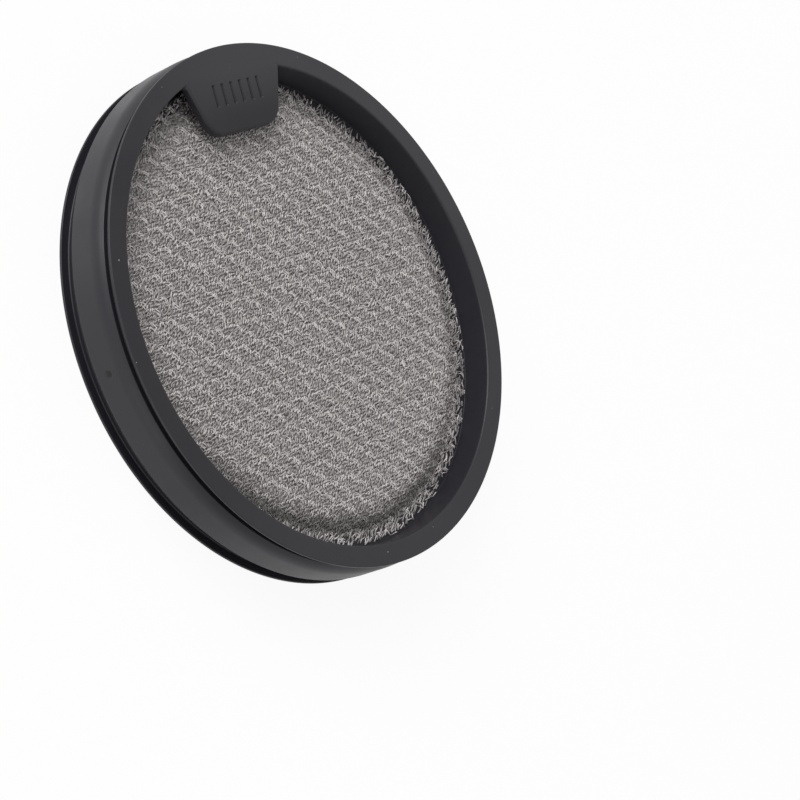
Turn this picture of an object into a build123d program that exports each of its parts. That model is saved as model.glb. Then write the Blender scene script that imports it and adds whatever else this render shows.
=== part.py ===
"""Round washable filter for a stick vacuum cleaner, in millimetres.

A one-piece rubber rim with a pull tab holds two pads between two nets. The filter lies on its
rear rim face, with +Z along its axis, the tab side up and the tab towards +Y.
"""
import os
from math import ceil, hypot, sqrt

from build123d import *

# Rim, outside: two thin lips, two grooves and a sealing band between two ramps
LIP_D = 94.0
LIP_T = 0.5
GROOVE_W = 1.7
GROOVE_DEPTH = 1.6
BAND_W = 5.5
BAND_PROUD = 0.2
RAMP_L = 1.35
RAMP_FALL = 0.9
LIP_BEVEL = 0.15
GATE_D = 1.5
GATE_DEPTH = 0.3

# Rim, inside: flat face ring, drafted wall and the flange that carries both nets
FACE_W = 3.8
FACE_BEVEL = 0.35
WALL_DRAFT = 0.5
FLANGE_W = 2.5
FLANGE_T = 2.0

# Pull tab, flush with the front face and drooping towards its tip
TAB_ROOT_W = 24.6
TAB_TIP_W = 17.6
TAB_REACH = 11.15
TAB_T = 1.6
TAB_DROOP = 1.3
TAB_CORNER_R = 4.4
TAB_BEVEL = 0.35
TAB_SINK = 0.8
UPRIGHT = 0.1  # a face whose normal rises less than this counts as a side

# Grip bars sunk in the tab
BAR_COUNT = 6
BAR_W = 0.8
BAR_L = 3.8
BAR_PITCH = 2.3
BAR_DEPTH = 0.35
BAR_FROM_TIP = 6.6

# Nets: flat on the flange, raised by the pads inside it
FRONT_NET_T = 0.5
REAR_NET_T = 0.3
NET_CLEAR = 0.15
FRONT_CROWN = 1.0
REAR_CROWN = 0.6
SHOULDER_W = 3.0
GAP_TAPER = 20.0
GAP_MARGIN = 0.6

# Front net: diamond gaps in staggered rows
DIAMOND_PITCH_X = 9.6
DIAMOND_PITCH_Y = 4.2
FRONT_STRAND_W = 1.2

# Rear net: hexagonal gaps
HEX_PITCH = 7.3
REAR_STRAND_W = 1.0

# Pads
PAD_CLEAR = 0.15

# Derived sizes
LIP_R = LIP_D / 2
BAND_R = LIP_R + BAND_PROUD
GROOVE_R = LIP_R - GROOVE_DEPTH
BAND_FOOT_R = BAND_R - RAMP_FALL
RIM_H = BAND_W + 2 * (RAMP_L + GROOVE_W + LIP_T)
MID_Z = RIM_H / 2
OPENING_R = LIP_R - FACE_W
WALL_FOOT_R = OPENING_R - WALL_DRAFT
FLANGE_R = WALL_FOOT_R - FLANGE_W
FLANGE_TOP = MID_Z + FLANGE_T / 2
FLANGE_BOTTOM = MID_Z - FLANGE_T / 2
PLATEAU_R = FLANGE_R - SHOULDER_W
TAB_TIP_Y = OPENING_R - TAB_REACH
TAB_HINGE_Y = sqrt(OPENING_R**2 - (TAB_ROOT_W / 2) ** 2)


def turned(points, bevels=None):
    """Revolve a closed section of (radius, height) points; bevels maps a point's index to its bevel."""
    section = make_face(Polyline(*points, close=True))
    for index, length in (bevels or {}).items():
        corner = Vector(*points[index])
        section = chamfer(section.vertices().sort_by_distance(corner)[0], length)
    return revolve(Plane.XZ * section, Axis.Z)


def rim_ring():
    """The rim without its tab, alike above and below its middle plane."""
    half = [
        (FLANGE_R, 0),
        (FLANGE_R, FLANGE_T / 2),
        (WALL_FOOT_R, FLANGE_T / 2),
        (OPENING_R, MID_Z),
        (LIP_R, MID_Z),
        (LIP_R, MID_Z - LIP_T),
        (GROOVE_R, MID_Z - LIP_T),
        (GROOVE_R, MID_Z - LIP_T - GROOVE_W),
        (BAND_FOOT_R, MID_Z - LIP_T - GROOVE_W),
        (BAND_R, BAND_W / 2),
    ]
    upper = [(r, MID_Z + z) for r, z in half]
    lower = [(r, MID_Z - z) for r, z in half[:0:-1]]
    points = upper + lower
    bevels = {}
    for corner, length in (((OPENING_R, MID_Z), FACE_BEVEL), ((LIP_R, MID_Z), LIP_BEVEL)):
        index = half.index(corner)
        bevels[index] = length
        bevels[len(points) - index] = length
    return turned(points, bevels)


def tab_layer(thickness):
    """The drooping top layer of the tab, with a given thickness and wider than the tab's outline."""
    bottom = RIM_H - thickness
    outer_y = OPENING_R + TAB_SINK
    section = [
        (outer_y, RIM_H),
        (TAB_HINGE_Y, RIM_H),
        (TAB_TIP_Y, RIM_H - TAB_DROOP),
        (TAB_TIP_Y, bottom - TAB_DROOP),
        (TAB_HINGE_Y, bottom),
        (outer_y, bottom),
    ]
    return extrude(Plane.YZ * make_face(Polyline(*section, close=True)), TAB_ROOT_W, both=True)


def tab_outline():
    """Plan of the tab: a trapezium with round tip corners that ends inside the rim's wall."""
    outer_y = OPENING_R + TAB_SINK
    slope = (TAB_ROOT_W - TAB_TIP_W) / 2 / (TAB_HINGE_Y - TAB_TIP_Y)
    tip = TAB_TIP_W / 2
    root = tip + slope * (outer_y - TAB_TIP_Y)
    corners = [(-tip, TAB_TIP_Y), (tip, TAB_TIP_Y), (root, outer_y), (-root, outer_y)]
    plan = make_face(Polyline(*corners, close=True))
    plan = fillet(plan.vertices().group_by(Axis.Y)[0], TAB_CORNER_R)
    return plan & Circle(outer_y)


def pull_tab():
    """The tab with a bevelled upper edge and a row of sunk grip bars."""
    through = 2 * RIM_H
    tab = extrude(tab_outline(), through) & tab_layer(TAB_T)
    tops = tab.faces().filter_by(lambda face: face.normal_at().Z > UPRIGHT)
    sides = tab.faces().filter_by(lambda face: abs(face.normal_at().Z) < UPRIGHT)
    rims = [edge for edge in tops.edges() if any(edge.is_same(other) for other in sides.edges())]
    tab = chamfer([edge for edge in rims if hypot(edge.center().X, edge.center().Y) < OPENING_R], TAB_BEVEL)
    bars = Sketch()
    for column in range(BAR_COUNT):
        x = (column - (BAR_COUNT - 1) / 2) * BAR_PITCH
        bars += Pos(x, TAB_TIP_Y + BAR_FROM_TIP) * Rectangle(BAR_W, BAR_L)
    return tab - (extrude(bars, through) & tab_layer(BAR_DEPTH))


def make_rim():
    """Rim moulding: ring, tab and the gate mark on the band."""
    gate = Pos(-BAND_R, 0, MID_Z) * Rot(0, 90, 0) * Cylinder(GATE_D / 2, 2 * GATE_DEPTH)
    return rim_ring() + pull_tab() - gate


def crowned_points(border_z, rise, lift, edge_r):
    """Half section of a crowned sheet's surface, from its axis out to its edge."""
    return [
        (0, border_z + rise + lift),
        (PLATEAU_R, border_z + rise + lift),
        (FLANGE_R, border_z + lift),
        (edge_r, border_z + lift),
    ]


def crowned_sheet(border_z, rise, thickness):
    """A net before its gaps: flat on the flange, then a shoulder up to a flat middle."""
    edge_r = WALL_FOOT_R - NET_CLEAR
    inner = crowned_points(border_z, rise, 0, edge_r)
    outer = crowned_points(border_z, rise, thickness, edge_r)
    return turned(inner + outer[::-1])


def staggered(pitch_x, pitch_y, reach):
    """Centres of a staggered pattern inside a circle, for a gap that reaches this far from its centre."""
    limit = PLATEAU_R - GAP_MARGIN - reach
    rows = ceil(PLATEAU_R / pitch_y)
    columns = ceil(PLATEAU_R / pitch_x)
    for row in range(-rows, rows + 1):
        for column in range(-columns, columns + 1):
            x = (column + row % 2 / 2) * pitch_x
            y = row * pitch_y
            if hypot(x, y) <= limit:
                yield x, y


def make_front_net():
    """Knitted net of the dust side: crossing ridges round diamond gaps."""
    sheet = crowned_sheet(FLANGE_TOP, FRONT_CROWN, FRONT_NET_T)
    half_x = DIAMOND_PITCH_X / 2
    half_y = DIAMOND_PITCH_Y
    share = 1 - FRONT_STRAND_W * hypot(half_x, half_y) / (2 * half_x * half_y)
    tip_x, tip_y = half_x * share, half_y * share
    diamond = make_face(Polyline((tip_x, 0), (0, tip_y), (-tip_x, 0), (0, -tip_y), close=True))
    top = FLANGE_TOP + FRONT_CROWN + FRONT_NET_T
    gaps = [Pos(x, y, top) * diamond for x, y in staggered(DIAMOND_PITCH_X, DIAMOND_PITCH_Y, tip_x)]
    return sheet - [extrude(gap, -FRONT_NET_T, taper=GAP_TAPER) for gap in gaps]


def make_rear_net():
    """Fine net of the clean side: ridges round hexagonal gaps."""
    sheet = crowned_sheet(FLANGE_BOTTOM, -REAR_CROWN, -REAR_NET_T)
    side_to_side = HEX_PITCH - REAR_STRAND_W
    corner_r = side_to_side / sqrt(3)
    hexagon = RegularPolygon(corner_r, 6, rotation=30)
    bottom = FLANGE_BOTTOM - REAR_CROWN - REAR_NET_T
    rows_apart = HEX_PITCH * sqrt(3) / 2
    gaps = [Pos(x, y, bottom) * hexagon for x, y in staggered(HEX_PITCH, rows_apart, corner_r)]
    return sheet - [extrude(gap, REAR_NET_T, taper=GAP_TAPER) for gap in gaps]


def make_pad(border_z, rise, towards):
    """A pad between the middle plane and a net; towards is 1 for the front pad and -1 for the rear one."""
    clear = towards * PAD_CLEAR
    edge_r = FLANGE_R - PAD_CLEAR
    crown = crowned_points(border_z, rise, -clear, edge_r)
    middle_z = MID_Z + clear / 2
    return turned([crown[0], crown[1], (edge_r, crown[2][1]), (edge_r, middle_z), (0, middle_z)])


def main():
    """Build the nodes and write one STEP file for each."""
    os.makedirs("parts", exist_ok=True)
    nodes = {
        "rim": make_rim(),
        "front_net": make_front_net(),
        "foam_pad": make_pad(FLANGE_TOP, FRONT_CROWN, 1),
        "felt_pad": make_pad(FLANGE_BOTTOM, -REAR_CROWN, -1),
        "rear_net": make_rear_net(),
    }
    for name, shape in nodes.items():
        export_step(shape, f"parts/{name}.step")


main()
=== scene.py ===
"""Dress a round washable vacuum cleaner filter: moulded rim, knitted net, two pads and a fine net."""
import logging
from dataclasses import dataclass
from enum import Enum

import bpy
import numpy as np
from mathutils import Matrix, Vector


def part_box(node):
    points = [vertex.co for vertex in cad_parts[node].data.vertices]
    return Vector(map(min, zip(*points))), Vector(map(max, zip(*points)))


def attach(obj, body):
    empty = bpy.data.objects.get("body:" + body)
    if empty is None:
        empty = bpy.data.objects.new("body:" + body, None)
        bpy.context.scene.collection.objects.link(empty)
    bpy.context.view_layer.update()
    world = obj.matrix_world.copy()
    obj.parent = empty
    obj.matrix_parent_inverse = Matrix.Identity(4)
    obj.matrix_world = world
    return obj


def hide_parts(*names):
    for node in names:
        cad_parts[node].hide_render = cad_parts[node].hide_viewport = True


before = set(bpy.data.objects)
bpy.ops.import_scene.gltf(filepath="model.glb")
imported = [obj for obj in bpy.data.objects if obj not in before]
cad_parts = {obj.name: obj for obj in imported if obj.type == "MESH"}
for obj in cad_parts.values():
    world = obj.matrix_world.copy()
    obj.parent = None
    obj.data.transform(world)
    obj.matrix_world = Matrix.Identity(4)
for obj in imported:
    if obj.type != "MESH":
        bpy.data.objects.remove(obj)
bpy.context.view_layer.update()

MM = 0.001
SHOULDER_W = 3.0
PAD_CLEAR = 0.15
TOUCH = 0.01
BODY = "root"
LOG = logging.getLogger("filter")

Array = np.ndarray
Color = tuple[float, float, float]


class Side(Enum):
    """The two faces of the filter, with the sign of Z that each one looks along."""

    DUST = 1
    CLEAN = -1


@dataclass
class Surface:
    """A mesh as whole arrays: points in millimetres, four-cornered faces and a tone for each point."""

    points: Array
    faces: Array
    tone: Array

    def joined(self, other: "Surface") -> "Surface":
        """Return this surface and another one as one."""
        faces = np.concatenate([self.faces, other.faces + len(self.points)])
        points = np.concatenate([self.points, other.points])
        return Surface(points, faces, np.concatenate([self.tone, other.tone]))

    def outward(self) -> "Surface":
        """Return the surface with its faces turned so that the volume it holds is positive."""
        corners = self.points[self.faces]
        diagonals = np.cross(corners[:, 2] - corners[:, 0], corners[:, 3] - corners[:, 1])
        volume = (corners.mean(axis=1) * diagonals).sum()
        return self if volume > 0 else Surface(self.points, self.faces[:, ::-1], self.tone)


def unit(vectors: Array) -> Array:
    """Return vectors scaled to length one along the last axis."""
    return vectors / np.linalg.norm(vectors, axis=-1, keepdims=True)


def smooth_step(low: float, high: float, value: Array) -> Array:
    """Return 0 below low, 1 above high and the cubic 3t^2 - 2t^3 between them."""
    share = np.clip((value - low) / (high - low), 0.0, 1.0)
    return share * share * (3.0 - 2.0 * share)


def ripple(points: Array, wavelength: float, seed: int, waves: int = 24) -> Array:
    """Return a random soft field over points, the sum of plane sine waves of about one wavelength.

    Args:
        points: places of shape (..., 2 or 3), in millimetres.
        wavelength: middle wavelength in millimetres.
        seed: seed of the directions, wavelengths and phases.
        waves: how many sine waves are added.

    Returns:
        One value for each point, with a mean square of about one.
    """
    random = np.random.default_rng(seed)
    direction = unit(random.normal(size=(waves, points.shape[-1])))
    number = 2.0 * np.pi / (wavelength * random.uniform(0.7, 1.4, waves))
    phase = random.uniform(0.0, 2.0 * np.pi, waves)
    return np.sin(points @ (direction * number[:, None]).T + phase).sum(axis=-1) * np.sqrt(2.0 / waves)


def grid_faces(rows: int, columns: int, wrapped: bool = False) -> Array:
    """Return the faces of a rows by columns grid of points, closed on itself both ways if wrapped."""
    row = np.arange(rows if wrapped else rows - 1)[:, None]
    column = np.arange(columns if wrapped else columns - 1)[None, :]
    next_row = (row + 1) % rows
    next_column = (column + 1) % columns
    corners = [
        row * columns + column,
        row * columns + next_column,
        next_row * columns + next_column,
        next_row * columns + column,
    ]
    return np.stack(corners, axis=-1).reshape(-1, 4)


def slab(top: Array, bottom: Array, tone: float = 0.5) -> Surface:
    """Close two grids of points into one solid: top, bottom and a wall of faces round their edges.

    Args:
        top: upper grid of shape (rows, columns, 3).
        bottom: lower grid of the same shape.
        tone: tone of all its points.

    Returns:
        The closed surface.
    """
    rows, columns = top.shape[:2]
    count = rows * columns
    index = np.arange(count).reshape(rows, columns)
    edge = np.concatenate([index[0, :-1], index[:-1, -1], index[-1, :0:-1], index[:0:-1, 0]])
    following = np.roll(edge, -1)
    wall = np.stack([edge, edge + count, following + count, following], axis=-1)
    sheet = grid_faces(rows, columns)
    points = np.concatenate([top.reshape(-1, 3), bottom.reshape(-1, 3)])
    faces = np.concatenate([sheet, sheet[:, ::-1] + count, wall])
    return Surface(points, faces, np.full(2 * count, tone)).outward()


def disc_grid(radius: float, cells: int) -> Array:
    """Return a square grid pressed into a disc, x = u sqrt(1 - v^2 / 2) and y = v sqrt(1 - u^2 / 2)."""
    line = np.linspace(-1.0, 1.0, cells + 1)
    u, v = np.meshgrid(line, line, indexing="ij")
    return radius * np.stack([u * np.sqrt(1.0 - v * v / 2.0), v * np.sqrt(1.0 - u * u / 2.0)], axis=-1)


def strands(paths: Array, radius: Array, tone: Array, sides: int = 4) -> Surface:
    """Carry a round profile along many paths at once and close both ends of each.

    Each ring of points is the path's point plus radius times (cos a * side + sin a * rise), where side is
    level and square to the path and rise is square to both.

    Args:
        paths: points of shape (strands, points, 3), in millimetres.
        radius: radius at each point, of a shape that spreads over (strands, points).
        tone: tones that spread over (strands, points).
        sides: corners of the profile, 4 or 6.

    Returns:
        All strands as one surface.
    """
    count, length = paths.shape[:2]
    along = unit(np.gradient(paths, axis=1))
    side = unit(np.cross(along, np.array([0.0, 0.0, 1.0])) + np.array([1e-6, 0.0, 0.0]))
    rise = np.cross(side, along)
    angle = 2.0 * np.pi * (np.arange(sides) + 0.5) / sides
    reach = np.broadcast_to(radius, (count, length))[..., None, None]
    ring = np.cos(angle)[:, None] * side[:, :, None, :] + np.sin(angle)[:, None] * rise[:, :, None, :]
    points = paths[:, :, None, :] + reach * ring
    step, corner = np.meshgrid(np.arange(length - 1), np.arange(sides), indexing="ij")
    following = (corner + 1) % sides
    tube = np.stack(
        [
            step * sides + corner,
            step * sides + following,
            (step + 1) * sides + following,
            (step + 1) * sides + corner,
        ],
        axis=-1,
    ).reshape(-1, 4)
    fan = np.arange(1, sides - 1, 2)[:, None]
    cap = np.concatenate([np.zeros_like(fan), fan, fan + 1, fan + 2], axis=1) % sides
    one = np.concatenate([tube, cap[:, ::-1], cap + (length - 1) * sides])
    faces = one[None] + (np.arange(count) * length * sides)[:, None, None]
    shades = np.repeat(np.broadcast_to(tone, (count, length)).ravel(), sides)
    return Surface(points.reshape(-1, 3), faces.reshape(-1, 4)[:, ::-1], shades)


def merged(layers: list[Surface]) -> Surface:
    """Return several surfaces as one."""
    starts = np.cumsum([0] + [len(layer.points) for layer in layers[:-1]])
    points = np.concatenate([layer.points for layer in layers])
    faces = np.concatenate([layer.faces + start for layer, start in zip(layers, starts)])
    return Surface(points, faces, np.concatenate([layer.tone for layer in layers]))


def lattice(first: Array, second: Array, reach: float) -> Array:
    """Return the points i * first + j * second of a plane lattice that lie within reach of its middle."""
    span = int(np.ceil(1.6 * reach / min(np.linalg.norm(first), np.linalg.norm(second))))
    steps = np.arange(-span, span + 1)
    i, j = np.meshgrid(steps, steps, indexing="ij")
    points = i.reshape(-1, 1) * first + j.reshape(-1, 1) * second
    return points[np.hypot(points[:, 0], points[:, 1]) < reach]


def add_piece(name: str, surface: Surface, material: bpy.types.Material) -> bpy.types.Object:
    """Make a smooth shaded object of a surface, with its tone as a point attribute, and ride it on the body.

    Args:
        name: name of the piece.
        surface: its mesh in millimetres.
        material: its finish.

    Returns:
        The object, at the origin.
    """
    mesh = bpy.data.meshes.new(name)
    faces = len(surface.faces)
    mesh.vertices.add(len(surface.points))
    mesh.vertices.foreach_set("co", (surface.points * MM).astype(np.float32).ravel())
    mesh.loops.add(faces * 4)
    mesh.loops.foreach_set("vertex_index", surface.faces.astype(np.int32).ravel())
    mesh.polygons.add(faces)
    mesh.polygons.foreach_set("loop_start", np.arange(0, faces * 4, 4, dtype=np.int32))
    mesh.polygons.foreach_set("use_smooth", np.ones(faces, dtype=bool))
    mesh.update(calc_edges=True)
    tone = mesh.attributes.new("tone", "FLOAT", "POINT")
    tone.data.foreach_set("value", surface.tone.astype(np.float32))
    mesh.materials.append(material)
    piece = bpy.data.objects.new(name, mesh)
    bpy.context.scene.collection.objects.link(piece)
    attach(piece, BODY)
    LOG.info("%s: %d triangles", name, 2 * faces)
    return piece


class Bench:
    """A node tree with short calls for adding and linking nodes."""

    def __init__(self, tree: bpy.types.NodeTree) -> None:
        """Keep the tree."""
        self.tree = tree

    def node(self, kind: str, **settings: object) -> bpy.types.Node:
        """Add a node; a setting is a property of the node, or the value or link of the input of that name.

        Args:
            kind: node type without its ShaderNode prefix.
            settings: properties and inputs, with spaces in names written as underscores.

        Returns:
            The node.
        """
        made = self.tree.nodes.new("ShaderNode" + kind)
        for key, value in settings.items():
            if hasattr(made, key):
                setattr(made, key, value)
            else:
                self.feed(made.inputs[key.replace("_", " ")], value)
        return made

    def feed(self, socket: bpy.types.NodeSocket, value: object) -> None:
        """Link an output to a socket, or set the socket's own value."""
        if isinstance(value, bpy.types.NodeSocket):
            self.tree.links.new(value, socket)
        else:
            socket.default_value = value

    def mix(self, factor: object, first: object, second: object) -> bpy.types.NodeSocket:
        """Return a colour between two colours by a factor."""
        made = self.node("Mix", data_type="RGBA")
        colours = [socket for socket in made.inputs if socket.type == "RGBA"]
        self.feed(made.inputs[0], factor)
        self.feed(colours[0], first)
        self.feed(colours[1], second)
        return next(socket for socket in made.outputs if socket.type == "RGBA")

    def math(self, operation: str, *values: object, clamp: bool = False) -> bpy.types.NodeSocket:
        """Return the result of a Math node."""
        made = self.node("Math", operation=operation, use_clamp=clamp)
        for socket, value in zip(made.inputs, values):
            self.feed(socket, value)
        return made.outputs[0]

    def span(self, value: object, low: float, high: float, to_low: float, to_high: float) -> bpy.types.NodeSocket:
        """Return a value moved from one range to another and kept inside it."""
        made = self.node("MapRange", clamp=True)
        for socket, entry in zip(made.inputs, (value, low, high, to_low, to_high)):
            self.feed(socket, entry)
        return made.outputs[0]


def rgba(color: Color) -> tuple[float, float, float, float]:
    """Return a colour with full alpha."""
    return (*color, 1.0)


def fibre_mottle_and_shade() -> bpy.types.NodeTree:
    """Build the shared effect of fibrous cloth: a colour between two by two sizes of noise, painted shade at low
    tone, and a height.
    """
    group = bpy.data.node_groups.new("fibre_mottle_and_shade", "ShaderNodeTree")
    sockets = group.interface
    for name, kind in (
        ("Scale", "NodeSocketFloat"),
        ("Dark", "NodeSocketColor"),
        ("Light", "NodeSocketColor"),
        ("Tone", "NodeSocketFloat"),
    ):
        sockets.new_socket(name=name, in_out="INPUT", socket_type=kind)
    sockets.new_socket(name="Color", in_out="OUTPUT", socket_type="NodeSocketColor")
    sockets.new_socket(name="Height", in_out="OUTPUT", socket_type="NodeSocketFloat")
    bench = Bench(group)
    given = bench.node("TexCoord")
    entry = group.nodes.new("NodeGroupInput")
    leave = group.nodes.new("NodeGroupOutput")
    coarse = bench.node("TexNoise", Vector=given.outputs["Object"], Scale=entry.outputs["Scale"], Detail=3.0)
    fine_scale = bench.math("MULTIPLY", entry.outputs["Scale"], 5.0)
    fine = bench.node("TexNoise", Vector=given.outputs["Object"], Scale=fine_scale, Detail=2.0)
    blend = bench.math("ADD", coarse.outputs[0], bench.math("MULTIPLY", fine.outputs[0], 0.8))
    shift = bench.math("ADD", blend, bench.math("SUBTRACT", entry.outputs["Tone"], 0.5))
    factor = bench.span(shift, 0.55, 1.25, 0.0, 1.0)
    shown = bench.mix(factor, entry.outputs["Dark"], entry.outputs["Light"])
    # painted shade: a tone below 0.1 darkens the colour towards black
    depth = bench.span(entry.outputs["Tone"], -0.6, 0.1, 0.3, 1.0)
    colour = bench.mix(depth, (0.0, 0.0, 0.0, 1.0), shown)
    bench.feed(leave.inputs["Color"], colour)
    bench.feed(leave.inputs["Height"], blend)
    return group


@dataclass(frozen=True)
class FibreFinish:
    """Cloth, yarn or wadding: two colours mottled by fibres, a soft sheen and a fine bump."""

    name: str
    dark: Color
    light: Color
    scale: float
    roughness: float
    bump: float

    def material(self, mottle_and_shade: bpy.types.NodeTree) -> bpy.types.Material:
        """Return the material, with the shared mottle and painted shade placed in it."""
        made = bpy.data.materials.new(self.name)
        made.use_nodes = True
        bench = Bench(made.node_tree)
        shader = made.node_tree.nodes["Principled BSDF"]
        tone = bench.node("Attribute", attribute_name="tone")
        effect = made.node_tree.nodes.new("ShaderNodeGroup")
        effect.node_tree = mottle_and_shade
        settings = {"Scale": self.scale, "Dark": rgba(self.dark), "Light": rgba(self.light)}
        for key, value in settings.items():
            effect.inputs[key].default_value = value
        bench.feed(effect.inputs["Tone"], tone.outputs["Fac"])
        relief = bench.node("Bump", Strength=self.bump, Distance=0.0001, Height=effect.outputs["Height"])
        bench.feed(shader.inputs["Base Color"], effect.outputs["Color"])
        bench.feed(shader.inputs["Normal"], relief.outputs[0])
        shader.inputs["Roughness"].default_value = self.roughness
        shader.inputs["Specular IOR Level"].default_value = 0.25
        return made


@dataclass(frozen=True)
class RubberFinish:
    """Matt moulded rubber: dark grey with faint drift, fine grain, a painted sheen that makes the face paler, and
    settled dust.
    """

    name: str = "rim_rubber"
    base: Color = (0.0150, 0.0140, 0.0190)
    worn: Color = (0.0270, 0.0258, 0.0310)
    stain: Color = (0.0030, 0.0030, 0.0036)
    # colour of the painted sheen that makes the front face paler
    painted_sheen: Color = (0.0400, 0.0386, 0.0450)
    roughness: float = 0.45
    grain_scale: float = 5200.0
    drift_scale: float = 70.0

    def material(self) -> bpy.types.Material:
        """Return the material."""
        made = bpy.data.materials.new(self.name)
        made.use_nodes = True
        bench = Bench(made.node_tree)
        shader = made.node_tree.nodes["Principled BSDF"]
        place = bench.node("TexCoord").outputs["Object"]
        drift = bench.node("TexNoise", Vector=place, Scale=self.drift_scale, Detail=5.0, Roughness=0.6)
        grain = bench.node("TexNoise", Vector=place, Scale=self.grain_scale, Detail=2.0)
        worn = bench.span(drift.outputs[0], 0.5, 0.75, 0.0, 0.55)
        tone = bench.node("Attribute", attribute_name="tone").outputs["Fac"]
        stain = bench.span(tone, 0.0, 0.5, 1.0, 0.0)
        clean = bench.mix(worn, rgba(self.base), rgba(self.worn))
        marked = bench.mix(stain, clean, rgba(self.stain))
        # painted sheen: a tone above 0.5 paints the rubber paler
        painted_sheen = bench.span(tone, 0.5, 1.0, 0.0, 1.0)
        bench.feed(shader.inputs["Base Color"], bench.mix(painted_sheen, marked, rgba(self.painted_sheen)))
        rough = bench.span(drift.outputs[0], 0.3, 0.7, self.roughness + 0.06, self.roughness - 0.06)
        bench.feed(shader.inputs["Roughness"], rough)
        relief = bench.node("Bump", Strength=0.12, Distance=0.0001, Height=grain.outputs[0])
        bench.feed(shader.inputs["Normal"], relief.outputs[0])
        shader.inputs["Specular IOR Level"].default_value = 0.45
        return made


@dataclass(frozen=True)
class DustFinish:
    """Pale dull dust."""

    name: str = "dust"
    color: Color = (0.6, 0.6, 0.58)

    def material(self) -> bpy.types.Material:
        """Return the material, slightly mottled."""
        made = bpy.data.materials.new(self.name)
        made.use_nodes = True
        bench = Bench(made.node_tree)
        shader = made.node_tree.nodes["Principled BSDF"]
        place = bench.node("TexCoord").outputs["Object"]
        speckle = bench.node("TexNoise", Vector=place, Scale=9000.0)
        shade = tuple(0.6 * part for part in self.color)
        bench.feed(shader.inputs["Base Color"], bench.mix(speckle.outputs[0], rgba(shade), rgba(self.color)))
        shader.inputs["Roughness"].default_value = 0.9
        return made


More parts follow.
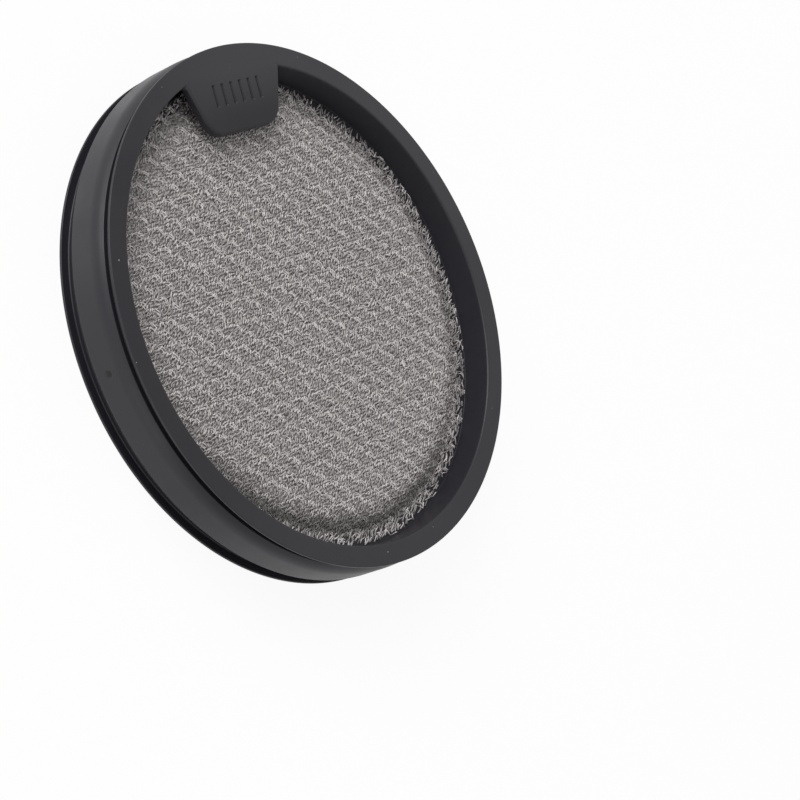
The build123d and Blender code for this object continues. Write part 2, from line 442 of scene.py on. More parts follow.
@dataclass
class Rim:
    """The moulded rim: a turned ring with lips, grooves, band and flange, and a pull tab in one piece."""

    band_r: float
    height: float
    band_proud: float = 0.2
    lip_t: float = 0.5
    groove_w: float = 1.7
    groove_depth: float = 1.6
    band_w: float = 5.5
    ramp_fall: float = 0.9
    face_w: float = 3.8
    wall_draft: float = 0.5
    flange_w: float = 2.5
    flange_t: float = 2.0
    band_edge_r: float = 0.10
    ramp_foot_r: float = 0.03
    gate_r: float = 0.75
    gate_depth: float = 0.3
    tab_root_w: float = 24.6
    tab_tip_w: float = 17.6
    tab_reach: float = 11.15
    tab_t: float = 1.6
    tab_droop: float = 1.3
    tab_corner_r: float = 4.4
    tab_edge_r: float = 0.45
    bar_count: int = 6
    bar_w: float = 0.8
    bar_l: float = 3.8
    bar_pitch: float = 2.3
    bar_depth: float = 0.35
    bar_from_tip: float = 6.6
    # directions in which the painted sheen on the front face is faintest and strongest
    least_sheen: tuple[float, float] = (-0.966, 0.259)
    most_sheen: tuple[float, float] = (0.5, 0.866)
    columns: int = 288

    @property
    def lip_r(self) -> float:
        """Outer radius of the lips."""
        return self.band_r - self.band_proud

    @property
    def opening_r(self) -> float:
        """Radius of the opening at the face ring."""
        return self.lip_r - self.face_w

    @property
    def flange_r(self) -> float:
        """Inner radius of the flange that carries the nets."""
        return self.opening_r - self.wall_draft - self.flange_w

    @property
    def middle(self) -> float:
        """Half of the rim's height."""
        return self.height / 2

    def section(self) -> Array:
        """Return the closed section of the ring as (radius, height) points with rounded corners.

        Each corner P between its neighbours is the parabola (1-t)^2 A + 2t(1-t) P + t^2 B, where A and B
        lie one edge radius from P. Each straight stretch has points near its ends, which keep it flat.
        """
        groove_top = self.middle - self.lip_t
        groove_foot = groove_top - self.groove_w
        groove_r = self.lip_r - self.groove_depth
        foot_r = self.opening_r - self.wall_draft
        half = np.array(
            [
                (foot_r - self.flange_w, self.flange_t / 2, 0.15),
                (foot_r, self.flange_t / 2, 0.10),
                (self.opening_r, self.middle, 0.40),
                (self.lip_r, self.middle, 0.20),
                (self.lip_r, groove_top, 0.18),
                (groove_r, groove_top, 0.30),
                (groove_r, groove_foot, 0.30),
                (self.band_r - self.ramp_fall, groove_foot, 0.10),
                (self.band_r, self.band_w / 2, 1.00),
            ]
        )
        mirrored = half[::-1] * np.array([1.0, -1.0, 1.0])
        mirrored[:2, 2] = self.band_edge_r, self.ramp_foot_r
        corners = np.concatenate([half, mirrored])
        point, edge_r = corners[:, None, :2], corners[:, None, 2:]
        before = point + edge_r * unit(np.roll(point, 1, axis=0) - point)
        after = point + edge_r * unit(np.roll(point, -1, axis=0) - point)
        t = np.linspace(0.0, 1.0, 6)[None, :, None]
        arcs = (1 - t) ** 2 * before + 2 * t * (1 - t) * point + t**2 * after
        share = np.array([0.05, 0.35, 0.65, 0.95])[None, :, None]
        flats = after + share * (np.roll(before, -1, axis=0) - after)
        outline = np.concatenate([arcs, flats], axis=1).reshape(-1, 2)
        close = self.gate_r * np.linspace(1.3, -1.3, 13)
        rows = np.stack([np.full(len(close), self.band_r), close], axis=-1)
        above = (len(half) - 1) * (t.shape[1] + share.shape[1]) + t.shape[1]
        outline = np.concatenate([outline[: above + 1], rows, outline[above + share.shape[1] - 1 :]])
        return outline + np.array([0.0, self.middle])

    def ring(self) -> Surface:
        """Return the ring: (r, z) of the section turned to (r cos a, r sin a, z), with the gate mark sunk.

        The gate mark lowers the band by depth * (1 - (d / radius)^2) within its radius, d being the
        distance along the band from its middle on the -X side.
        """
        section = self.section()
        gate_angle = self.gate_r / self.band_r
        close = np.pi + np.linspace(-1.3, 1.3, 15) * gate_angle
        even = np.linspace(0.0, 2.0 * np.pi, self.columns, endpoint=False)
        angle = np.sort(np.concatenate([even[np.abs(even - np.pi) > 1.6 * gate_angle], close]))
        band = section[:, 0] > self.band_r - 0.001
        high = section[:, 1].copy()
        radius, turn = np.meshgrid(section[:, 0], angle, indexing="ij")
        height = np.broadcast_to(high[:, None], radius.shape)
        away = np.hypot((turn - np.pi) * self.band_r, height - self.middle) / self.gate_r
        sunk = self.gate_depth * np.clip(1.0 - away**2, 0.0, 1.0) * band[:, None]
        reach = radius - sunk
        points = np.stack([reach * np.cos(turn), reach * np.sin(turn), height], axis=-1).reshape(-1, 3)
        faces = grid_faces(len(section), len(angle), wrapped=True)
        tone = 0.5 - 0.5 * smooth_step(0.0, 0.7, sunk / self.gate_depth)
        # the tone also carries painted sheen on the ring's front face
        return Surface(points, faces, tone.ravel() + self.painted_sheen(points, 0.12)).outward()

    def tab_half_width(self, y: Array) -> Array:
        """Return half the tab's width: straight sides, and the circle of the tip corner below its tangent."""
        tip_y, centre_x, centre_y, tangent_y, slope = self.tab_corner()
        straight = self.tab_tip_w / 2 + slope * (y - tip_y)
        inside = np.clip(self.tab_corner_r**2 - (centre_y - y) ** 2, 0.0, None)
        return np.where(y < tangent_y, centre_x + np.sqrt(inside), straight)

    def tab_corner(self) -> tuple[float, float, float, float, float]:
        """Return the tip's y, the tip corner's centre x and y, the y where it meets the side, and the slope."""
        tip_y = self.opening_r - self.tab_reach
        hinge_y = self.hinge_y()
        slope = (self.tab_root_w - self.tab_tip_w) / 2 / (hinge_y - tip_y)
        length = np.hypot(1.0, slope)
        centre_y = tip_y + self.tab_corner_r
        centre_x = self.tab_tip_w / 2 + slope * self.tab_corner_r - self.tab_corner_r * length
        tangent_y = centre_y - self.tab_corner_r * slope / length
        return tip_y, centre_x, centre_y, tangent_y, slope

    def hinge_y(self) -> float:
        """Return the y at which the tab's sides leave the opening."""
        return float(np.sqrt(self.opening_r**2 - (self.tab_root_w / 2) ** 2))

    def tab_plan(self) -> tuple[Array, Array]:
        """Return the x and y grids of the tab, with lines close together at its edges and grip bars."""
        tip_y, _, _, tangent_y, _ = self.tab_corner()
        turn = np.linspace(0.0, np.arccos(1.0 - (tangent_y - tip_y) / self.tab_corner_r), 14)
        rounded = tip_y + self.tab_corner_r * (1.0 - np.cos(turn))
        near = np.array([-0.12, -0.04, 0.04, 0.12, 0.22])
        bar_mid = tip_y + self.bar_from_tip
        ends = np.concatenate([bar_mid - self.bar_l / 2 + near, bar_mid + self.bar_l / 2 - near])
        free = np.linspace(tangent_y, ends.max() + 0.2, 24)
        y = np.unique(np.concatenate([rounded, ends, free]))
        root = np.linspace(0.0, 1.0, 9)[1:]
        nominal = np.concatenate([y, y[-1] + root * (self.opening_r + 1.0 - y[-1])])
        wall = self.bar_w / 2 + np.array([-0.2, -0.12, -0.04, 0.04, 0.12])
        bar = (np.arange(self.bar_count) - (self.bar_count - 1) / 2) * self.bar_pitch
        inner = np.sort(np.concatenate([np.add.outer(bar, wall).ravel(), np.add.outer(bar, -wall).ravel(), bar]))
        width = self.tab_half_width(nominal)[:, None]
        fixed = inner[None, :] * np.minimum(1.0, width / (self.tab_tip_w / 2))
        edge = width - np.array([0.0, 0.02, 0.06, 0.13, 0.24, 0.38, 0.6])[None, :]
        between = fixed[:, -1:] + (edge[:, -1:] - fixed[:, -1:]) * np.array([0.2, 0.4, 0.6, 0.8])[None, :]
        right = np.concatenate([between, edge[:, ::-1]], axis=1)
        x = np.concatenate([-right[:, ::-1], fixed, right], axis=1)
        rows = np.broadcast_to(nominal[:, None], x.shape)
        share = np.concatenate([np.zeros(len(y)), root])[:, None]
        arc = np.sqrt((self.opening_r + 1.2) ** 2 - x**2)
        return x, np.where(share > 0.0, y[-1] + share * (arc - y[-1]), rows)

    def tab(self) -> Surface:
        """Return the tab as two height fields over its plan, closed by a wall.

        The top is flat at the face and slopes to the tip past the hinge; it drops by the quarter circle
        R - sqrt(R^2 - (R - d)^2) within R of the outline, d being the distance to it, and by the depth of
        the grip bars. Over the ring it lies a hair above the face, then sinks into it.
        """
        x, y = self.tab_plan()
        tip_y, centre_x, centre_y, tangent_y, slope = self.tab_corner()
        side = (self.tab_tip_w / 2 + slope * (y - tip_y) - np.abs(x)) / np.hypot(1.0, slope)
        corner = self.tab_corner_r - np.hypot(np.abs(x) - centre_x, y - centre_y)
        rounded = (np.abs(x) > centre_x) & (y < tangent_y)
        away = np.clip(np.where(rounded, corner, np.minimum(side, y - tip_y)), 0.0, None)
        past = (self.hinge_y() - y) / (self.hinge_y() - tip_y)
        middle = self.height - self.tab_droop * (past + np.sqrt(past**2 + 0.0016)) / 2
        r = np.hypot(x, y)
        middle = middle + 0.012 - 0.04 * smooth_step(self.opening_r + 0.4, self.opening_r + 1.1, r)
        bar = (np.arange(self.bar_count) - (self.bar_count - 1) / 2) * self.bar_pitch
        across = np.abs(x[..., None] - bar).min(axis=-1) - self.bar_w / 2
        along = np.abs(y - tip_y - self.bar_from_tip) - self.bar_l / 2
        sunk = self.bar_depth * (1.0 - smooth_step(-0.13, 0.05, np.maximum(across, along)))

        def drop(edge_r: float) -> Array:
            """Return the quarter circle drop near the outline."""
            inward = np.clip(edge_r - away, 0.0, edge_r)
            return edge_r - np.sqrt(edge_r**2 - inward**2)

        top = np.stack([x, y, middle - sunk - drop(self.tab_edge_r)], axis=-1)
        bottom = np.stack([x, y, middle - self.tab_t + drop(self.tab_edge_r / 2)], axis=-1)
        made = slab(top, bottom)
        # the tone also carries painted sheen on the tab's top
        return Surface(made.points, made.faces, made.tone + self.painted_sheen(made.points, 1.1))

    def painted_sheen(self, points: Array, fade: float) -> Array:
        """Return how much painted sheen makes the front face paler: faintest towards one side, strongest towards
        another.
        """
        level = smooth_step(self.height - fade, self.height - 0.02, points[:, 2])
        least_sheen = smooth_step(0.3, 0.9, unit(points[:, :2]) @ np.array(self.least_sheen))
        most_sheen = smooth_step(0.3, 0.95, unit(points[:, :2]) @ np.array(self.most_sheen))
        return level * (0.2 * (1.0 - least_sheen) + 0.2 * most_sheen)

    def build(self, finish: RubberFinish) -> bpy.types.Object:
        """Build and dress the rim."""
        piece = add_piece("rim_moulding", self.ring().joined(self.tab()), finish.material())
        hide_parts("rim")
        return piece


@dataclass
class Dust:
    """Small pale specks that have settled on the rim."""

    face_z: float
    spots: tuple[tuple[float, float, float], ...] = (
        (45.25, 158.7, 0.32),
        (46.75, 179.9, 0.24),
        (44.80, -98.7, 0.30),
        (45.85, 113.2, 0.16),
        (42.80, 90.2, 0.16),
        (45.82, 67.0, 0.14),
        (44.23, -81.3, 0.18),
        (44.60, -40.0, 0.15),
        (45.70, 20.0, 0.14),
    )

    def build(self, finish: DustFinish) -> bpy.types.Object:
        """Build the specks: short flat tapered strands on the face ring, one for each spot."""
        radius, azimuth, size = np.array(self.spots).T
        turn = np.radians(azimuth)
        heading = turn + np.linspace(0.4, 5.0, len(turn))
        centre = np.stack([radius * np.cos(turn), radius * np.sin(turn), self.face_z - 0.17 * size], axis=-1)
        along = np.stack([np.cos(heading), np.sin(heading), np.zeros(len(turn))], axis=-1)
        step = np.linspace(-0.5, 0.5, 5)
        paths = centre[:, None, :] + (size[:, None] * step)[..., None] * along[:, None, :]
        girth = size[:, None] * (0.12 + 0.26 * np.cos(np.pi * step))
        piece = add_piece("dust_specks", strands(paths, girth, np.full((len(turn), 1), 0.5)), finish.material())
        return piece


@dataclass
class KnitNet:
    """The knitted net of the dust side: fine slanted stitches, and yarns that hook from row to row."""

    edge_r: float
    border_z: float
    crown: float
    flange_r: float
    plateau_r: float
    foot_r: float
    yarn_z: float = 0.10
    border_sink: float = 0.06
    wale: float = 4.68
    course: float = 3.845
    turned: float = -0.8
    phase: tuple[float, float] = (0.228, 0.196)
    filaments: tuple[float, ...] = (-0.2, 0.2)
    stitch_grid: tuple[int, int] = (8, 6)
    slant: float = 36.0
    border_share: float = 0.75
    # directions of the painted shade: the side where the crease is shaded most, and the far side whose outer band is
    # shaded
    shade_side: tuple[float, float] = (-0.225, -0.974)
    far: tuple[float, float] = (0.966, 0.259)
    fine_loops: int = 13000
    seed: int = 5

    def lift(self, plan: Array) -> Array:
        """Return the height of the net's middle: raised by the pad, and sunk into the rim at its border."""
        r = np.hypot(plan[..., 0], plan[..., 1])
        crown = self.crown * (1.0 - smooth_step(self.plateau_r, self.foot_r, r))
        sunk = self.border_sink * smooth_step(self.flange_r - 0.5, self.flange_r + 0.8, r)
        return self.border_z + crown + self.yarn_z - sunk

    def anchors(self) -> Array:
        """Return the places where a hooked yarn leaves its row, one for each cell of the lattice."""
        turn = np.radians(self.turned)
        first = self.wale * np.array([np.cos(turn), np.sin(turn)])
        second = self.course * np.array([-np.sin(turn), np.cos(turn)])
        shift = self.phase[0] * first + self.phase[1] * second
        return lattice(first, second, self.edge_r + 6.0) + shift

    def spread(self, motif: Array, random: np.random.Generator, jitter: float) -> Array:
        """Copy a motif's path to every cell, a little uneven, and keep what lies inside the net's edge.

        Args:
            motif: path of one cell as (along row, across rows, height) points.
            random: source of the unevenness.
            jitter: size of the unevenness in millimetres.

        Returns:
            Paths of shape (cells, points, 3).
        """
        turn = np.radians(self.turned)
        spin = np.array([[np.cos(turn), np.sin(turn)], [-np.sin(turn), np.cos(turn)]])
        anchors = self.anchors()
        plan = anchors[:, None, :] + (motif[:, :2] @ spin)[None]
        drift = np.stack([ripple(plan, 14.0, self.seed), ripple(plan, 14.0, self.seed + 1)], axis=-1)
        plan = plan + 0.12 * drift + jitter * random.normal(size=(len(anchors), 1, 2))
        plan = plan + 0.5 * jitter * random.normal(size=plan.shape)
        r = np.hypot(plan[..., 0], plan[..., 1])
        kept = np.median(r, axis=1) < self.edge_r - 0.2
        plan, r = plan[kept], r[kept]
        plan = plan * np.minimum(1.0, (self.edge_r - 0.15) / r)[..., None]
        height = self.lift(plan) + motif[None, :, 2]
        return np.concatenate([plan, height[..., None]], axis=-1)

    def hook_path(self) -> Array:
        """Return the path of one hooked yarn from row to row, as (along row, across rows, height) points."""
        return np.array(
            [
                (-2.7, 0.02, -0.10),
                (-1.5, 0.04, -0.02),
                (-0.4, 0.04, 0.04),
                (0.14, -0.04, 0.10),
                (0.42, -0.50, 0.10),
                (0.72, -1.12, -0.02),
                (1.45, -1.55, -0.06),
                (2.16, -1.74, 0.08),
                (2.62, -2.32, 0.08),
                (2.92, -3.00, -0.10),
            ]
        )

    def hooks(self, random: np.random.Generator) -> Surface:
        """Return the hooked yarns as bundles of filaments that spread where the yarn turns.

        A filament's path is the yarn's path plus its offset times the spread, along the level normal.
        """
        path = self.hook_path()
        open_up = np.array([0.4, 0.45, 0.7, 1.1, 1.25, 0.8, 0.5, 1.0, 1.25, 0.5])
        girth = np.array([0.05, 0.06, 0.07, 0.12, 0.14, 0.10, 0.06, 0.11, 0.14, 0.07])
        pale = np.array([0.42, 0.44, 0.48, 0.66, 0.72, 0.58, 0.44, 0.62, 0.72, 0.52])
        heading = unit(np.gradient(path[:, :2], axis=0))
        level = np.stack([-heading[:, 1], heading[:, 0], np.zeros(len(path))], axis=-1)
        layers = []
        for offset in self.filaments:
            paths = self.spread(path + (offset * open_up)[:, None] * level, random, 0.08)
            paths[..., 2] += 0.05 * random.normal(size=paths.shape[:2]) - 0.02
            # painted shade darkens the hooks in the crease and on the far side
            tone = pale + 0.08 * random.normal(size=paths.shape[:2]) - self.shade(paths[..., :2])
            layers.append(strands(paths, girth, tone))
        return merged(layers)

    def near_hook(self, plan: Array) -> Array:
        """Return exp(-(d / 0.45)^2) for the distance d of each place to the nearest hooked yarn."""
        turn = np.radians(self.turned)
        spin = np.array([[np.cos(turn), -np.sin(turn)], [np.sin(turn), np.cos(turn)]])
        cell = np.array([self.wale, self.course])
        flat = plan @ spin - np.array(self.phase) * cell
        path = self.hook_path()[:, :2]
        share = np.linspace(0.0, len(path) - 1.0, 37)
        dense = np.stack([np.interp(share, np.arange(len(path)), part) for part in path.T], axis=-1)
        gap = flat[:, None, :] - dense[None]
        gap = gap - cell * np.round(gap / cell)
        return np.exp(-((np.hypot(gap[..., 0], gap[..., 1]).min(axis=1) / 0.45) ** 2))

    def shade(self, plan: Array) -> Array:
        """Return how much painted shade darkens each place: the crease at the crown's foot, most on one side, and
        the far outer band.
        """
        r = np.hypot(plan[..., 0], plan[..., 1])
        facing = unit(plan) @ np.array(self.shade_side)
        width = np.where(r < self.foot_r, 1.7, 0.6)
        crease = np.exp(-(((r - self.foot_r) / width) ** 2))
        far = smooth_step(-0.3, 0.9, unit(plan) @ np.array(self.far)) * smooth_step(self.plateau_r, self.flange_r, r)
        return crease * (0.12 + 0.12 * facing + 0.7 * smooth_step(0.5, 0.95, facing)) + 0.2 * far

    def stitches(self, random: np.random.Generator) -> Surface:
        """Return the small stitches: short slanted strands on a fine staggered lattice, a little uneven.

        A stitch close to a hooked yarn stands higher and is paler. Those in the crease at the rim's flange
        are darker with painted shade.
        """
        turn = np.radians(self.turned)
        across = self.wale / self.stitch_grid[0] * np.array([np.cos(turn), np.sin(turn)])
        down = self.course / self.stitch_grid[1] * np.array([-np.sin(turn), np.cos(turn)]) + across / 2
        middle = lattice(across, down, self.edge_r - 0.4)
        middle = middle + 0.11 * random.normal(size=middle.shape)
        r = np.hypot(middle[:, 0], middle[:, 1])
        kept = (r < self.flange_r + 0.2) | (random.uniform(size=len(r)) < self.border_share)
        middle, r = middle[kept], r[kept]
        count = len(middle)
        heading = np.radians(self.slant + 22.0 * random.normal(size=count))
        border = smooth_step(self.foot_r, self.flange_r, r)
        reach = random.uniform(0.27, 0.45, count) * (1.0 + 0.7 * border)
        along = reach[:, None] * np.stack([np.cos(heading), np.sin(heading)], axis=-1)
        plan = np.stack([middle - along, middle + along], axis=1)
        plan = plan * np.minimum(1.0, (self.edge_r - 0.1) / np.hypot(plan[..., 0], plan[..., 1]))[..., None]
        near = self.near_hook(middle)
        height = self.lift(plan) + 0.035 * random.normal(size=plan.shape[:2])
        height = height + (0.07 * near + 0.04 * random.normal(size=count) - 0.03)[:, None]
        # painted shade darkens the stitches in the crease and on the far side
        tone = 0.41 + 0.40 * near - self.shade(middle) + (0.04 + 0.16 * border) * random.normal(size=count)
        tone = tone - 0.14 * border
        paths = np.concatenate([plan, height[..., None]], axis=-1)
        return strands(paths, random.uniform(0.115, 0.155, (count, 1)), tone[:, None])

    def filling(self, random: np.random.Generator) -> Surface:
        """Return the fine loops below the stitches: short strands scattered evenly, most of them slanted."""
        r = (self.edge_r - 1.0) * np.sqrt(random.uniform(size=self.fine_loops))
        kept = (r < self.flange_r) | (random.uniform(size=self.fine_loops) < 0.8)
        r = r[kept]
        spot = random.uniform(0.0, 2.0 * np.pi, len(r))
        heading = np.radians(self.slant + 32.0 * random.normal(size=len(r)))
        reach = random.uniform(0.25, 0.5, len(r))
        middle = np.stack([r * np.cos(spot), r * np.sin(spot)], axis=-1)
        along = reach[:, None] * np.stack([np.cos(heading), np.sin(heading)], axis=-1)
        plan = np.stack([middle - along, middle + along], axis=1)
        height = self.lift(plan) - 0.12 + 0.05 * random.normal(size=plan.shape[:2])
        paths = np.concatenate([plan, height[..., None]], axis=-1)
        girth = random.uniform(0.055, 0.095, (len(r), 1))
        # painted shade darkens the loops in the crease and on the far side
        tone = 0.45 + 0.16 * random.normal(size=len(r)) - self.shade(middle)
        return strands(paths, girth, tone[:, None])

    def build(self, finish: FibreFinish, mottle_and_shade: bpy.types.NodeTree) -> bpy.types.Object:
        """Build and dress the net."""
        random = np.random.default_rng(self.seed)
        material = finish.material(mottle_and_shade)
        piece = add_piece("knit_net", self.stitches(random), material)
        hooks = add_piece("knit_hooks", self.hooks(random), material)
        filling = add_piece("knit_filling", self.filling(random), material)
        for part in (piece, hooks, filling):
            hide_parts("front_net")
        return piece


@dataclass
class Wad:
    """A pad of loose fibres behind a net: a crowned disc with a lumpy face and fibres that stand off it."""

    name: str
    node: str
    slot: str
    side: Side
    edge_r: float
    plateau_r: float
    foot_r: float
    flat_z: float
    border_z: float = 0.0
    crown: float = 0.0
    lumps: float = 0.12
    fibres: int = 1500
    fibre_r: float = 0.07
    fibre_l: float = 1.5
    seed: int = 3
    cells: int = 110

    def face(self, plan: Array) -> Array:
        """Return the height of the pad's face: its border, its crown and two sizes of ripple."""
        r = np.hypot(plan[..., 0], plan[..., 1])
        crown = self.crown * (1.0 - smooth_step(self.plateau_r, self.foot_r, r))
        uneven = 0.6 * ripple(plan, 2.6, self.seed) + 0.4 * ripple(plan, 1.1, self.seed + 1)
        return self.border_z + self.side.value * (crown + self.lumps * (uneven - 0.6))

    def body(self) -> Surface:
        """Return the pad as the slab between its flat back and its lumpy face."""
        plan = disc_grid(self.edge_r, self.cells)
        face = np.concatenate([plan, self.face(plan)[..., None]], axis=-1)
        back = np.concatenate([plan, np.full((*plan.shape[:2], 1), self.flat_z)], axis=-1)
        made = slab(face, back)
        return Surface(made.points, made.faces, 0.5 + 0.12 * ripple(made.points[:, :2], 1.8, self.seed + 2))

    def fuzz(self) -> Surface:
        """Return loose fibres: short bowed strands scattered evenly over the face."""
        random = np.random.default_rng(self.seed)
        r = (self.edge_r - 0.6) * np.sqrt(random.uniform(size=self.fibres))
        spot = random.uniform(0.0, 2.0 * np.pi, self.fibres)
        heading = random.uniform(0.0, 2.0 * np.pi, self.fibres)
        length = self.fibre_l * random.uniform(0.5, 1.4, self.fibres)
        bow = random.normal(size=self.fibres) * 0.25
        step = np.linspace(-0.5, 0.5, 4)
        along = length[:, None] * step
        aside = (length * bow)[:, None] * (0.25 - step**2) * 4.0
        x = (r * np.cos(spot))[:, None] + along * np.cos(heading)[:, None] - aside * np.sin(heading)[:, None]
        y = (r * np.sin(spot))[:, None] + along * np.sin(heading)[:, None] + aside * np.cos(heading)[:, None]
        plan = np.stack([x, y], axis=-1)
        off = np.hypot(x, y)
        plan = plan * np.minimum(1.0, self.edge_r / off)[..., None]
        rise = self.lumps * (0.25 + 0.75 * random.uniform(size=self.fibres))[:, None] * (1.0 - 3.2 * step**2)
        height = self.face(plan) + self.side.value * rise
        paths = np.concatenate([plan, height[..., None]], axis=-1)
        tone = np.clip(0.55 + 0.25 * random.normal(size=(self.fibres, 1)), 0.0, 1.0)
        return strands(paths, self.fibre_r * np.array([0.6, 1.0, 1.0, 0.6]), tone)

    def build(self, finish: FibreFinish, mottle_and_shade: bpy.types.NodeTree) -> bpy.types.Object:
        """Build and dress the pad."""
        piece = add_piece(self.name, self.body().joined(self.fuzz()), finish.material(mottle_and_shade))
        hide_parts(self.node)
        return piece


@dataclass
class HexNet:
    """The fine net of the clean side: six-sided cells of double upright strands and single slanted ones."""

    edge_r: float
    border_z: float
    crown: float
    flange_r: float
    plateau_r: float
    pitch: float = 1.35
    strand_z: float = 0.18
    upright_r: float = 0.19
    slanted_r: float = 0.155
    seed: int = 11

    def lift(self, plan: Array) -> Array:
        """Return the height of the net's middle over the plan."""
        r = np.hypot(plan[..., 0], plan[..., 1])
        return self.border_z - self.crown * (1.0 - smooth_step(self.plateau_r, self.flange_r, r)) - self.strand_z

    def edges(self, heading: float, points: int, bulge: float) -> Array:
        """Return the strands of one heading, from each upper corner of the cells.

        Args:
            heading: direction in degrees from the corner.
            points: points along each strand.
            bulge: how far the strand's middle stands off the net.

        Returns:
            Paths of shape (strands, points, 3).
        """
        arm = self.pitch / np.sqrt(3.0)
        first = np.array([self.pitch, 0.0])
        second = np.array([self.pitch / 2, 1.5 * arm])
        start = lattice(first, second, self.edge_r - 0.1) + np.array([0.0, arm])
        along = arm * np.array([np.cos(np.radians(heading)), np.sin(np.radians(heading))])
        step = np.linspace(0.0, 1.0, points)
        plan = start[:, None, :] + step[None, :, None] * along
        uneven = np.stack([ripple(plan, 9.0, self.seed), ripple(plan, 9.0, self.seed + 1)], axis=-1)
        plan = plan + 0.07 * uneven
        r = np.hypot(plan[..., 0], plan[..., 1])
        plan = plan * np.minimum(1.0, (self.edge_r - 0.1) / r)[..., None]
        height = self.lift(plan) - bulge * 4.0 * (step * (1.0 - step))[None, :]
        return np.concatenate([plan, height[..., None]], axis=-1)

    def build(self, finish: FibreFinish, mottle_and_shade: bpy.types.NodeTree) -> bpy.types.Object:
        """Build and dress the net."""
        random = np.random.default_rng(self.seed)
        upright = self.edges(90.0, 3, 0.05)
        tone = 0.5 + 0.1 * random.normal(size=(len(upright), 1))
        surface = strands(upright, self.upright_r * np.array([0.9, 1.1, 0.9]), tone)
        for heading in (-150.0, -30.0):
            slanted = self.edges(heading, 2, 0.0)
            tone = 0.5 + 0.1 * random.normal(size=(len(slanted), 1))
            surface = surface.joined(strands(slanted, np.full(2, self.slanted_r), tone))
        piece = add_piece("hex_net", surface, finish.material(mottle_and_shade))
        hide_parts("rear_net")
        return piece


@dataclass
class Studio:
    """Pale floor, soft light and the camera."""

    eye: tuple[float, float, float] = (-335.85, -14.12, 302.85)
    right: tuple[float, float, float] = (0.59561, -0.35717, 0.71949)
    up: tuple[float, float, float] = (0.24033, 0.93392, 0.26464)
    lens: float = 115.96
    key_from: tuple[float, float, float] = (-0.33, 0.67, 0.52)
    key_distance: float = 1.5
    key_size: float = 1.0
    key_power: float = 17.0
    fill_from: tuple[float, float, float] = (-0.90, -0.25, 0.22)
    fill_power: float = 1.5
    sky: float = 0.56
    floor_half: float = 3.0

    def floor(self) -> bpy.types.Object:
        """Return the floor, white to the eye, which still shows a soft shadow."""
        line = np.array([-self.floor_half, self.floor_half])
        x, y = np.meshgrid(line, line, indexing="ij")
        points = np.stack([x, y, np.full_like(x, -0.00005)], axis=-1).reshape(-1, 3)
        mesh = bpy.data.meshes.new("floor")
        mesh.from_pydata(points.tolist(), [], [(0, 2, 3, 1)])
        material = bpy.data.materials.new("floor_white")
        material.use_nodes = True
        bench = Bench(material.node_tree)
        material.node_tree.nodes.remove(material.node_tree.nodes["Principled BSDF"])
        matt = bench.node("BsdfDiffuse", Color=(0.9, 0.9, 0.9, 1.0))
        white = bench.node("Emission", Color=(1.0, 1.0, 1.0, 1.0), Strength=1.0)
        seen = self.seen_directly(bench)
        share = bench.math("MULTIPLY", seen, 0.92)
        blend = bench.node("MixShader", Fac=share)
        bench.feed(blend.inputs[1], matt.outputs[0])
        bench.feed(blend.inputs[2], white.outputs[0])
        bench.feed(material.node_tree.nodes["Material Output"].inputs["Surface"], blend.outputs[0])
        mesh.materials.append(material)
        floor = bpy.data.objects.new("floor", mesh)
        bpy.context.scene.collection.objects.link(floor)
        return floor

    def seen_directly(self, bench: Bench) -> bpy.types.NodeSocket:
        """Return 1 for camera, glossy and transmitted rays, and 0 for the rays that light things."""
        path = bench.node("LightPath")
        seen = bench.math("MAXIMUM", path.outputs["Is Camera Ray"], path.outputs["Is Glossy Ray"])
        return bench.math("MAXIMUM", seen, path.outputs["Is Transmission Ray"])

    def lamp(
        self, name: str, place: tuple[float, float, float], distance: float, size: tuple[float, float], power: float
    ) -> None:
        """Add one soft rectangular light that faces the filter.

        Args:
            name: name of the light.
            place: direction in which it stands, seen from the origin.
            distance: how far off it stands, in metres.
            size: its width and height in metres.
            power: its power in watts.
        """
        lamp = bpy.data.lights.new(name, "AREA")
        lamp.shape = "RECTANGLE"
        lamp.size, lamp.size_y = size
        lamp.energy = power
        holder = bpy.data.objects.new(name, lamp)
        towards = Vector(place).normalized()
        holder.location = towards * distance
        holder.rotation_euler = towards.to_track_quat("Z", "Y").to_euler()
        bpy.context.scene.collection.objects.link(holder)

    def light(self) -> None:
        """Add the soft key light, a low fill light in front and the even sky."""
        self.lamp("key", self.key_from, self.key_distance, (self.key_size, self.key_size), self.key_power)
        self.lamp("fill", self.fill_from, 1.2, (0.8, 0.5), self.fill_power)
        world = bpy.data.worlds.new("sky")
        world.use_nodes = True
        bench = Bench(world.node_tree)
        seen = bench.node("LightPath").outputs["Is Camera Ray"]
        strength = bench.span(seen, 0.0, 1.0, self.sky, 1.0)
        background = world.node_tree.nodes["Background"]
        background.inputs["Color"].default_value = (1.0, 1.0, 1.0, 1.0)
        bench.feed(background.inputs["Strength"], strength)
        bpy.context.scene.world = world

    def camera(self) -> None:
        """Add the camera at the viewing place and roll."""
        data = bpy.data.cameras.new("camera")
        data.lens = self.lens
        data.clip_start = 0.01
        camera = bpy.data.objects.new("camera", data)
        right, up = Vector(self.right), Vector(self.up)
        turn = Matrix((right, up, right.cross(up))).transposed().to_4x4()
        camera.matrix_world = Matrix.Translation(Vector(self.eye) * MM) @ turn
        bpy.context.scene.collection.objects.link(camera)
        bpy.context.scene.camera = camera

    def build(self) -> None:
        """Set the scene up."""
        self.floor()
        self.light()
        self.camera()
        bpy.context.scene.view_settings.view_transform = "Standard"


def node_span(node: str) -> tuple[Array, Array]:
    """Return a solid's lowest and highest corner in millimetres."""
    low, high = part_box(node)
    return np.array(low) / MM, np.array(high) / MM


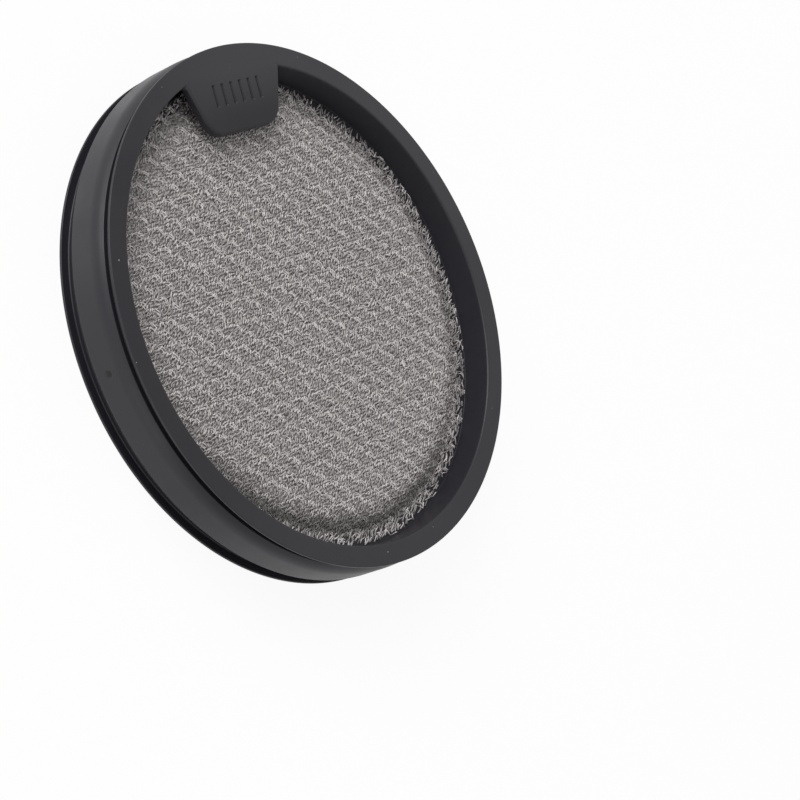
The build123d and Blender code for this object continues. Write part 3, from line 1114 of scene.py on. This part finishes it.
def main() -> None:
    """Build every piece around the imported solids, then the studio."""
    logging.basicConfig(level=logging.INFO, format="%(message)s")
    rim_low, rim_high = node_span("rim")
    net_low, net_high = node_span("front_net")
    foam_low, foam_high = node_span("foam_pad")
    felt_low, felt_high = node_span("felt_pad")
    rear_low, rear_high = node_span("rear_net")
    mottle_and_shade = fibre_mottle_and_shade()
    rim = Rim(band_r=rim_high[0], height=rim_high[2])
    rim.build(RubberFinish())
    Dust(face_z=rim_high[2]).build(DustFinish())
    flange_r = rim.flange_r
    plateau_r = flange_r - SHOULDER_W
    front_crown = foam_high[2] + PAD_CLEAR - net_low[2]
    rear_crown = rear_high[2] - felt_low[2] + PAD_CLEAR
    yarn = FibreFinish("grey_yarn", (0.245, 0.231, 0.226), (0.665, 0.633, 0.623), 1800.0, 0.8, 0.4)
    soft_r, foot_r = flange_r - 4.8, flange_r - 0.8
    KnitNet(net_high[0], net_low[2], front_crown, flange_r, soft_r, foot_r).build(yarn, mottle_and_shade)
    foam = FibreFinish("foam_fibre", (0.19, 0.180, 0.174), (0.55, 0.527, 0.515), 1400.0, 0.85, 0.6)
    wad = Wad("foam_wad", "foam_pad", "foam", Side.DUST, flange_r - TOUCH, soft_r, foot_r, foam_low[2])
    wad.border_z, wad.crown = net_low[2] - PAD_CLEAR, front_crown
    wad.build(foam, mottle_and_shade)
    felt = FibreFinish("felt_fibre", (0.78, 0.775, 0.80), (0.93, 0.925, 0.95), 700.0, 0.9, 0.5)
    back = Wad("felt_wad", "felt_pad", "felt", Side.CLEAN, flange_r - TOUCH, plateau_r, flange_r, felt_high[2])
    back.border_z, back.crown = rear_high[2] + PAD_CLEAR, rear_crown
    back.lumps, back.fibres, back.fibre_r, back.fibre_l, back.seed = 0.06, 1500, 0.05, 2.0, 7
    back.build(felt, mottle_and_shade)
    fine = FibreFinish("fine_yarn", (0.33, 0.325, 0.345), (0.61, 0.605, 0.63), 1800.0, 0.6, 0.2)
    HexNet(rear_high[0], rear_high[2], rear_crown, flange_r, plateau_r).build(fine, mottle_and_shade)
    Studio().build()


if __name__ == "__main__":
    main()
